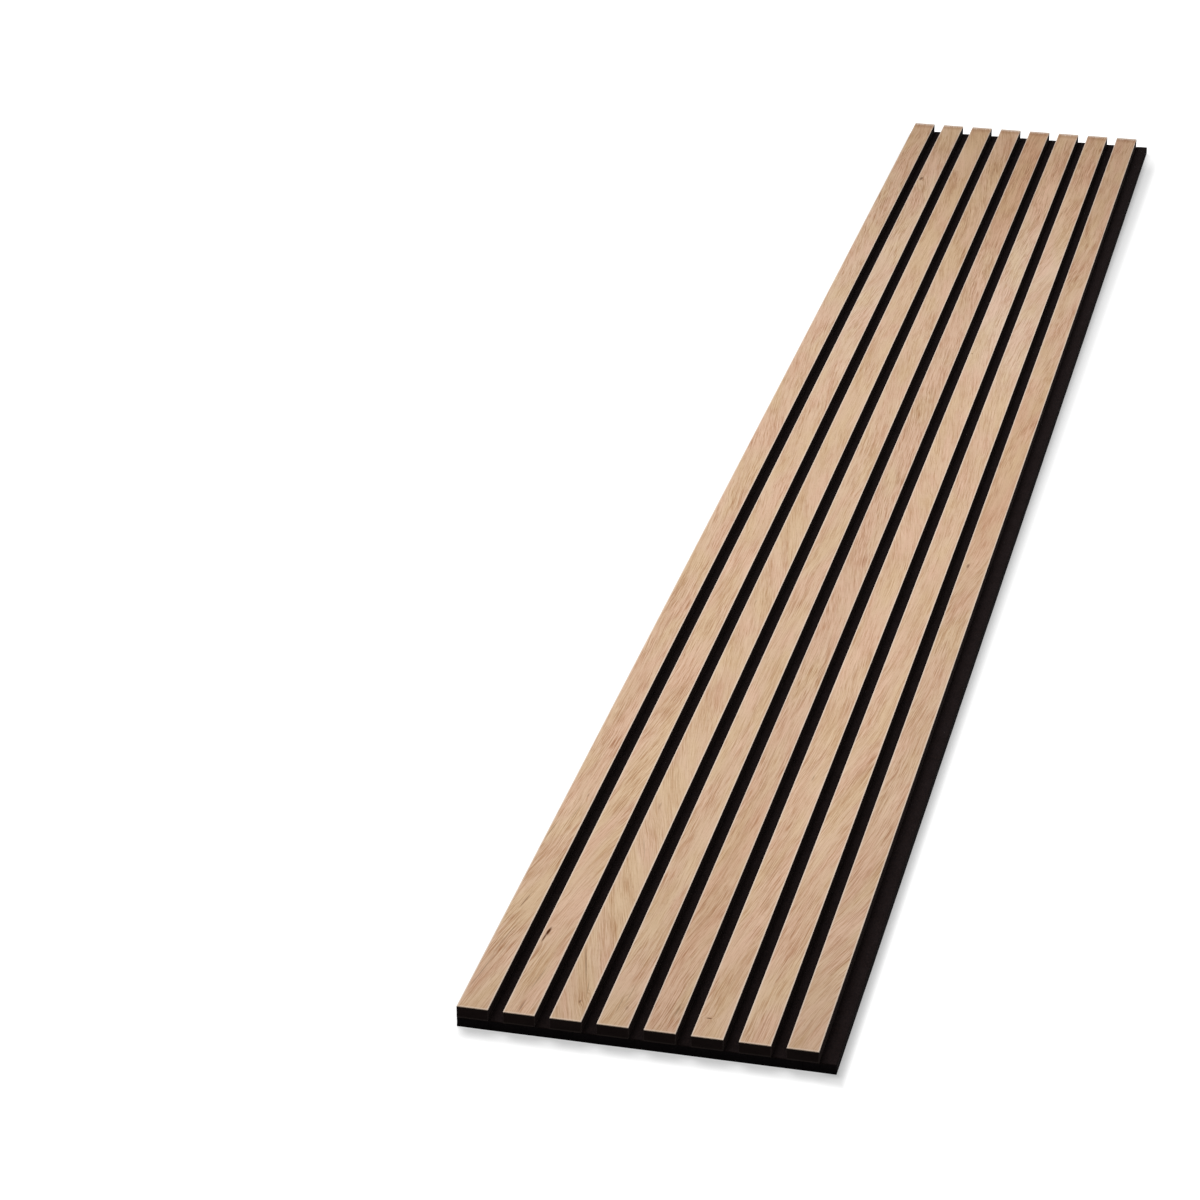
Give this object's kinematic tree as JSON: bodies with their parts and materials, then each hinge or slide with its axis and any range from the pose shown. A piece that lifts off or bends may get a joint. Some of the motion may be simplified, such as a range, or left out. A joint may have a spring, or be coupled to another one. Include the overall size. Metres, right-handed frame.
{
  "type": "acoustic slat wall panel",
  "caption": "Long flat wall panel: parallel oak-veneered slats on a black felt backing, which runs a little past the last slat to leave a gap to the next panel.",
  "frame": {"origin": "middle of the felt's back face, which is the face that meets the wall", "axes": "+X across the slats towards the bare felt margin, +Y along the slats, +Z out of the wall"},
  "size_m": [0.322, 2.4, 0.02],
  "materials": {
    "oak_veneer": "light natural oak, fine-sanded under a matt clear lacquer",
    "black_fibreboard": "black through-dyed fibreboard, sawn and bare, matt",
    "black_felt": "black needled felt, matt and slightly fuzzy",
    "staple_steel": "galvanised flat wire"
  },
  "bodies": {
    "root": {"felt_backing": "black_felt", "slat_1_core": "black_fibreboard", "slat_1_veneer": "oak_veneer", "slat_2_core": "black_fibreboard", "slat_2_veneer": "oak_veneer", "slat_3_core": "black_fibreboard", "slat_3_veneer": "oak_veneer", "slat_4_core": "black_fibreboard", "slat_4_veneer": "oak_veneer", "slat_5_core": "black_fibreboard", "slat_5_veneer": "oak_veneer", "slat_6_core": "black_fibreboard", "slat_6_veneer": "oak_veneer", "slat_7_core": "black_fibreboard", "slat_7_veneer": "oak_veneer", "slat_8_core": "black_fibreboard", "slat_8_veneer": "oak_veneer", "staples": "staple_steel"}
  },
  "joints": []
}
